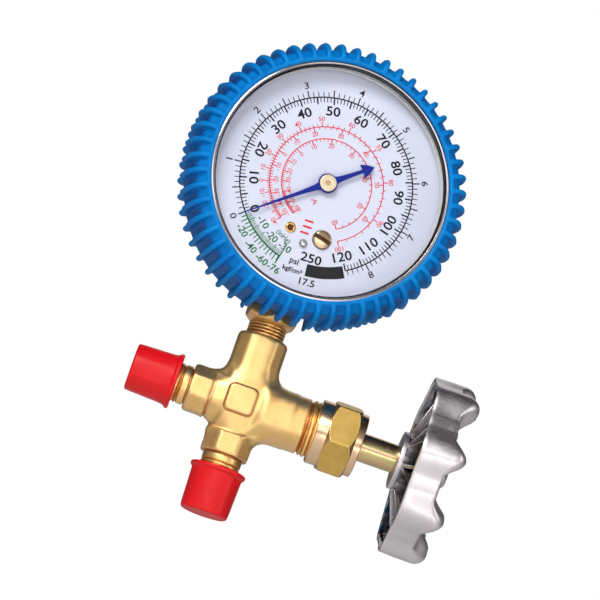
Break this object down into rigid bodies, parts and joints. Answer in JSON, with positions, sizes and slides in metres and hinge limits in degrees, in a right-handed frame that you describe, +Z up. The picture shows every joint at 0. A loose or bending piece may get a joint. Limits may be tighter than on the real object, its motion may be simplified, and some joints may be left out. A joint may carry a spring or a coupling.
{
  "type": "refrigerant manifold gauge",
  "caption": "Single-valve refrigerant charging manifold: forged brass tee body with two capped flare ports, a handwheel valve and a rubber-booted compound gauge.",
  "frame": {"origin": "point where the valve axis crosses the gauge stem axis, at the centre of the valve body", "axes": "+X along the valve stem towards the handwheel, -X out of the side port, +Z up the gauge stem, -Z out of the bottom port; the dial faces -Y, turned 7.3 degrees towards +X"},
  "size_m": [0.1006, 0.052, 0.1357],
  "materials": {
    "forged_brass": "satin forged brass",
    "machined_brass": "turned brass, passivated",
    "pressed_brass": "bright pressed brass",
    "zinc_steel": "yellow zinc plated steel",
    "cast_wheel": "satin nickel plated die casting",
    "bright_steel": "bright plated steel",
    "red_vinyl": "soft red vinyl",
    "blue_rubber": "moulded blue rubber",
    "case_paint": "black enamel on pressed steel",
    "chrome_ring": "polished chrome",
    "clear_lens": "clear window",
    "black_rubber": "black rubber",
    "dial_white": "pale matt print ground",
    "pointer_blue": "deep blue enamel",
    "white_ptfe": "white fluoropolymer",
    "spring_bronze": "drawn phosphor bronze"
  },
  "bodies": {
    "body": {"valve_body": "forged_brass", "bonnet_nut": "machined_brass", "packing_washer": "machined_brass", "packing_rings": "white_ptfe", "packing_gland": "machined_brass", "gauge_socket": "machined_brass", "gauge_case": "case_paint", "relief_plug": "black_rubber", "case_screws": "bright_steel", "bezel": "chrome_ring", "lens": "clear_lens", "lens_gasket": "black_rubber", "boot": "blue_rubber", "dial": "dial_white", "dial_eyelet": "pressed_brass", "stop_pin": "bright_steel", "movement_plates": "pressed_brass", "movement_pillars": "pressed_brass", "movement_screws": "bright_steel", "hairspring": "spring_bronze", "bourdon_tube": "spring_bronze"},
    "seat": {"seat_holder": "machined_brass", "seat_disc": "white_ptfe"},
    "spindle": {"valve_stem": "zinc_steel", "handwheel": "cast_wheel", "handwheel_washer": "bright_steel", "handwheel_screw": "bright_steel"},
    "left_cap": {"left_port_cap": "red_vinyl"},
    "bottom_cap": {"bottom_port_cap": "red_vinyl"},
    "pointer_shaft": {"pointer": "pointer_blue", "pointer_hub": "pressed_brass", "pinion": "pressed_brass", "spring_collet": "pressed_brass"},
    "sector": {"sector_gear": "pressed_brass", "sector_arbor": "bright_steel", "link_pin": "bright_steel"},
    "tube_link": {"link": "pressed_brass"},
    "tube_end": {"tube_tip": "pressed_brass"},
    "calibrator": {"calibration_screw": "pressed_brass"}
  },
  "joints": [
    {"name": "seat_slide", "type": "slide", "parent": "body", "child": "seat", "axis": [1, 0, 0], "range_m": [0, 0.00451]},
    {"name": "handwheel_turn", "type": "hinge", "parent": "seat", "child": "spindle", "pos_m": [0.012, 0, 0], "axis": [1, 0, 0], "range_deg": [0, 1080]},
    {"name": "left_cap_pull", "type": "slide", "parent": "body", "child": "left_cap", "axis": [-1, 0, 0], "range_m": [0, 0.03]},
    {"name": "bottom_cap_pull", "type": "slide", "parent": "body", "child": "bottom_cap", "axis": [0, 0, -1], "range_m": [0, 0.03]},
    {"name": "pointer_turn", "type": "hinge", "parent": "body", "child": "pointer_shaft", "pos_m": [0.00102, -0.00794, 0.0634], "axis": [-0.1271, 0.9919, 0], "range_deg": [-36, 302], "stiffness_Nm_per_rad": 0.0001},
    {"name": "sector_swing", "type": "hinge", "parent": "body", "child": "sector", "pos_m": [0.00895, -0.00692, 0.05446], "axis": [0.1271, -0.9919, 0], "range_deg": [-4.1, 33.7]},
    {"name": "link_swing", "type": "hinge", "parent": "sector", "child": "tube_link", "pos_m": [0.01383, -0.00629, 0.05101], "axis": [0.1271, -0.9919, 0], "range_deg": [-18, 2.5]},
    {"name": "tube_tip_travel", "type": "hinge", "parent": "body", "child": "tube_end", "pos_m": [-0.00423, -0.00558, 0.05489], "axis": [0.1271, -0.9919, 0], "range_deg": [-1.5, 12], "deforming": ["bourdon_tube"]},
    {"name": "calibration_turn", "type": "hinge", "parent": "body", "child": "calibrator", "pos_m": [0.00555, -0.0134, 0.0482], "axis": [-0.1271, 0.9919, 0], "range_deg": [-180, 180]}
  ],
  "couplings": [
    {"joint": "seat_slide", "follows": "handwheel_turn", "m_per_rad": 0.00023873},
    {"joint": "sector_swing", "follows": "pointer_turn", "ratio": 0.11111},
    {"joint": "link_swing", "follows": "pointer_turn", "ratio": -0.058154},
    {"joint": "tube_tip_travel", "follows": "pointer_turn", "ratio": 0.038489}
  ]
}
